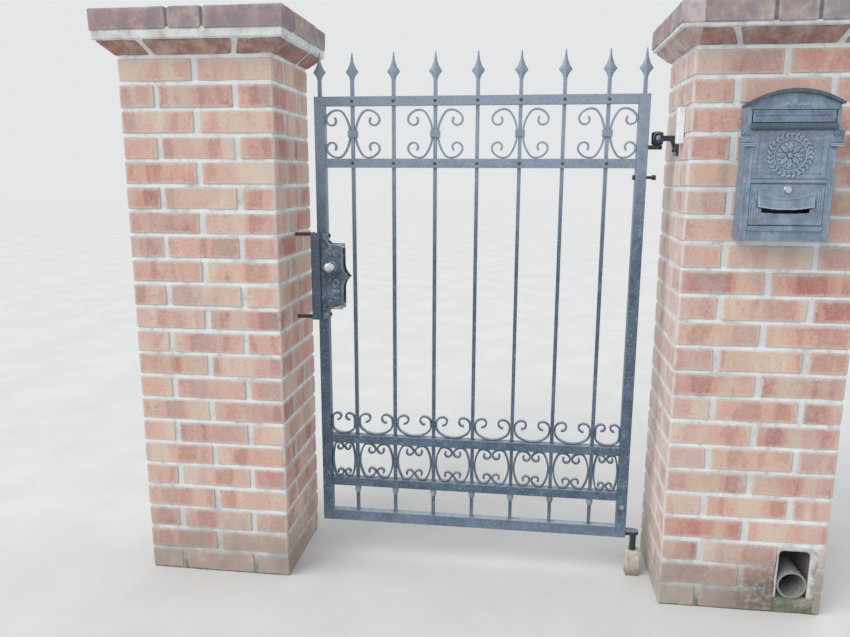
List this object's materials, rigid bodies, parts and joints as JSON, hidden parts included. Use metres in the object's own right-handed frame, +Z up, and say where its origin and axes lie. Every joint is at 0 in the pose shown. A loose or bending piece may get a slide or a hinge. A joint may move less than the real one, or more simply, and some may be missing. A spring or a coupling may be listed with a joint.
{
  "type": "wrought iron garden gate between brick piers",
  "caption": "Single-leaf wrought iron pedestrian gate with scrolls and spearheads, hung between two capped brick piers, one of them with a cast post box.",
  "frame": {"origin": "on the hinge line of the leaf, at ground level, on the underside of the stone that carries the foot pivot", "axes": "+X along the wall to the right as seen from the street, +Y into the garden through the passage, +Z up"},
  "size_m": [2.394, 0.5448, 1.898],
  "materials": {
    "brick": "matte",
    "clay": "matte",
    "pivot_stone": "matte",
    "black_iron": "satin",
    "iron_paint": "satin",
    "lock_plate_iron": "hammered",
    "postbox_paint": "satin",
    "lock_steel": "brushed",
    "knob_steel": "polished",
    "white_plastic": "matte"
  },
  "bodies": {
    "root": {"left_pier": "brick", "left_splay_course": "brick", "left_cap_course": "brick", "right_pier": "brick", "right_splay_course": "brick", "right_cap_course": "brick", "drain_pipe": "clay", "pivot_stone": "pivot_stone", "hinge_bracket": "black_iron", "keeper_bars": "black_iron", "keeper_angle": "iron_paint", "bell_box": "white_plastic", "postbox_back": "postbox_paint", "postbox_sides": "postbox_paint", "postbox_floor": "postbox_paint", "postbox_hood": "postbox_paint", "postbox_tympanum": "postbox_paint", "postbox_jambs": "postbox_paint", "postbox_sill": "postbox_paint", "postbox_panel": "postbox_paint", "postbox_medallion": "postbox_paint", "postbox_pilasters": "postbox_paint", "postbox_base": "postbox_paint"},
    "leaf": {"hinge_stile": "iron_paint", "latch_stile": "iron_paint", "top_rail": "iron_paint", "frieze_rail": "iron_paint", "dado_rail": "iron_paint", "lower_rail": "iron_paint", "bottom_rail": "iron_paint", "spear_bars": "iron_paint", "stile_spears": "iron_paint", "frieze_scrolls": "iron_paint", "frieze_collars": "iron_paint", "dado_scrolls": "iron_paint", "cresting_scrolls": "iron_paint", "lock_case": "iron_paint", "latch_tongue": "lock_steel", "lock_plates": "lock_plate_iron", "latch_knobs": "knob_steel", "hinge_ear": "black_iron", "pivot_ear": "black_iron", "stile_bolt": "black_iron"},
    "letter_flap": {"postbox_flap": "postbox_paint"},
    "emptying_door": {"postbox_door": "postbox_paint", "postbox_lock": "lock_steel"}
  },
  "joints": [
    {"name": "gate_swing", "type": "hinge", "parent": "root", "child": "leaf", "pos_m": [0, 0, 0], "axis": [0, 0, -1], "range_deg": [0, 95]},
    {"name": "flap_swing", "type": "hinge", "parent": "root", "child": "letter_flap", "pos_m": [0.315, -0.282, 1.57075], "axis": [-1, 0, 0], "range_deg": [0, 75]},
    {"name": "door_swing", "type": "hinge", "parent": "root", "child": "emptying_door", "pos_m": [0.315, -0.282, 1.267], "axis": [1, 0, 0], "range_deg": [0, 90]}
  ]
}
